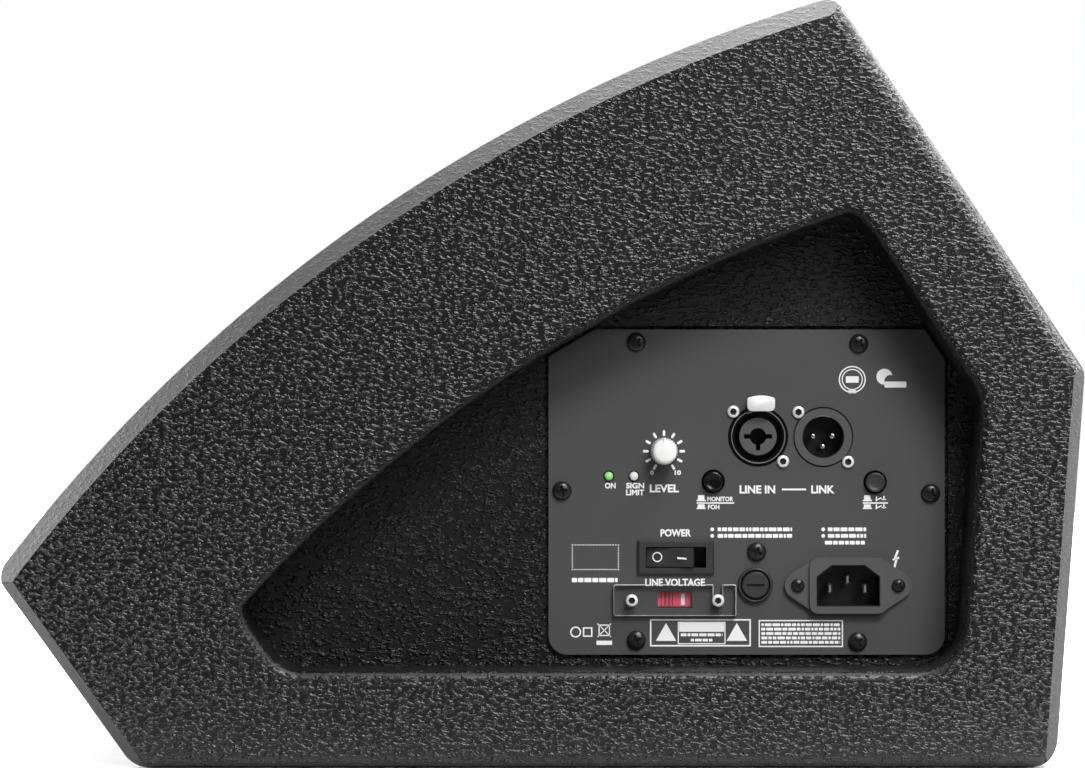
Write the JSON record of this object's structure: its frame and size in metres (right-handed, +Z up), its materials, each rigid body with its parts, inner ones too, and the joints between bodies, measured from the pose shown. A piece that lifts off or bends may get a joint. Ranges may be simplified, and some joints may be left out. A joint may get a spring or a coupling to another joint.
{
  "type": "stage monitor wedge",
  "caption": "Powered coaxial stage monitor wedge with a curved steel grille, textured cabinet and a recessed side panel of controls and sockets.",
  "frame": {"origin": "on the floor, under the middle of the bounding box", "axes": "+X from the toe to the heel (the box's length), +Y across the width away from the amplifier side, +Z up"},
  "size_m": [0.4241, 0.36, 0.3005],
  "materials": {
    "coated_plywood": "black textured structural paint over plywood",
    "grille_steel": "black powder-coated perforated steel",
    "panel_steel": "black satin powder coat on sheet steel",
    "black_plastic": "moulded black nylon",
    "gloss_black_plastic": "moulded glossy black ABS",
    "grey_plastic": "moulded dark grey nylon",
    "knob_plastic": "moulded light grey ABS",
    "lamp_plastic": "tinted and clear moulded epoxy lens",
    "red_plastic": "moulded red ABS",
    "clear_acrylic": "clear acrylic sheet",
    "bright_steel": "nickel-plated steel",
    "black_steel": "black oxide steel screws",
    "contact_metal": "silver-plated brass",
    "magnet_steel": "zinc-plated mild steel",
    "ferrite": "sintered ferrite",
    "cast_aluminium": "die-cast aluminium, dark coat",
    "sheet_aluminium": "plain aluminium sheet",
    "cone_paper": "coated black paper pulp",
    "doped_cloth": "doped cotton cloth",
    "coil_former": "former with enamelled wire",
    "foam": "closed-cell foam",
    "wadding": "polyester wadding",
    "circuit_board": "glass-epoxy board",
    "winding_tape": "polyester-taped winding",
    "can_sleeve": "shrink-sleeved aluminium can",
    "wire_sleeve": "insulated stranded wire",
    "fuse_glass": "glass tube with nickel-plated caps"
  },
  "bodies": {
    "cabinet": {"amp_side_cheek": "coated_plywood", "far_side_cheek": "coated_plywood", "pocket_frames": "coated_plywood", "amp_mounting_board": "coated_plywood", "far_pocket_board": "coated_plywood", "bottom_panel": "coated_plywood", "rear_panel": "coated_plywood", "top_panel": "coated_plywood", "toe_panel": "coated_plywood", "baffle": "coated_plywood", "grille": "grille_steel", "grille_battens": "coated_plywood", "cabinet_screws": "black_steel", "port_tubes": "black_plastic", "pole_cup": "black_steel", "damping_pad": "wadding", "driver_basket": "cast_aluminium", "driver_gasket": "foam", "driver_screws": "black_steel", "driver_surround": "doped_cloth", "driver_spider": "doped_cloth", "top_plate": "magnet_steel", "ferrite_magnet": "ferrite", "back_plate": "magnet_steel", "hf_horn": "black_plastic", "hf_driver": "magnet_steel", "wiring": "wire_sleeve", "amp_panel": "panel_steel", "panel_gasket": "foam", "panel_screws": "black_steel", "amp_chassis": "sheet_aluminium", "circuit_boards": "circuit_board", "power_transformer": "winding_tape", "capacitors": "can_sleeve", "level_pot": "grey_plastic", "status_leds": "lamp_plastic", "push_switches": "grey_plastic", "combo_shell": "black_plastic", "combo_insert": "grey_plastic", "xlr_shell": "grey_plastic", "xlr_pins": "contact_metal", "socket_screws": "bright_steel", "rocker_housing": "black_plastic", "selector_housing": "black_plastic", "fuse_holder": "gloss_black_plastic", "inlet_body": "black_plastic", "inlet_pins": "contact_metal", "inlet_screws": "black_steel"},
    "level_control": {"level_shaft": "bright_steel", "level_knob": "knob_plastic"},
    "voicing_push": {"voicing_button": "gloss_black_plastic"},
    "ground_push": {"ground_button": "gloss_black_plastic"},
    "mains_rocker": {"power_rocker": "black_plastic"},
    "voltage_select": {"voltage_slider": "red_plastic"},
    "cover_swing": {"selector_cover": "clear_acrylic"},
    "fuse_carrier": {"fuse": "fuse_glass"},
    "fuse_cap_turn": {"fuse_cap": "black_plastic"},
    "latch_tab": {"combo_latch": "bright_steel"},
    "cone_assembly": {"driver_cone": "cone_paper", "voice_coil": "coil_former"}
  },
  "joints": [
    {"name": "level_turn", "type": "hinge", "parent": "cabinet", "child": "level_control", "pos_m": [0.0484, -0.146, 0.1232], "axis": [0, -1, 0], "range_deg": [-150, 150]},
    {"name": "voicing_press", "type": "slide", "parent": "cabinet", "child": "voicing_push", "axis": [0, 1, 0], "range_m": [0, 0.0028]},
    {"name": "ground_press", "type": "slide", "parent": "cabinet", "child": "ground_push", "axis": [0, 1, 0], "range_m": [0, 0.0028]},
    {"name": "power_tip", "type": "hinge", "parent": "cabinet", "child": "mains_rocker", "pos_m": [0.0531, -0.1372, 0.081], "axis": [0, 0, 1], "range_deg": [0, 26]},
    {"name": "voltage_slide", "type": "slide", "parent": "cabinet", "child": "voltage_select", "axis": [-1, 0, 0], "range_m": [0, 0.005]},
    {"name": "cover_turn", "type": "hinge", "parent": "cabinet", "child": "cover_swing", "pos_m": [0.0355, -0.146, 0.0639], "axis": [0, 1, 0], "range_deg": [0, 28]},
    {"name": "fuse_pull", "type": "slide", "parent": "cabinet", "child": "fuse_carrier", "axis": [0, -1, 0], "range_m": [0, 0.03]},
    {"name": "fuse_cap_twist", "type": "hinge", "parent": "fuse_carrier", "child": "fuse_cap_turn", "pos_m": [0.0847, -0.146, 0.07], "axis": [0, -1, 0], "range_deg": [0, 90]},
    {"name": "latch_press", "type": "slide", "parent": "cabinet", "child": "latch_tab", "axis": [0, 1, 0], "range_m": [0, 0.0012], "stiffness_N_per_m": 400},
    {"name": "cone_travel", "type": "slide", "parent": "cabinet", "child": "cone_assembly", "axis": [-0.5679, 0, 0.8231], "range_m": [-0.004, 0.004], "stiffness_N_per_m": 3000, "deforming": ["driver_surround", "driver_spider"]}
  ]
}
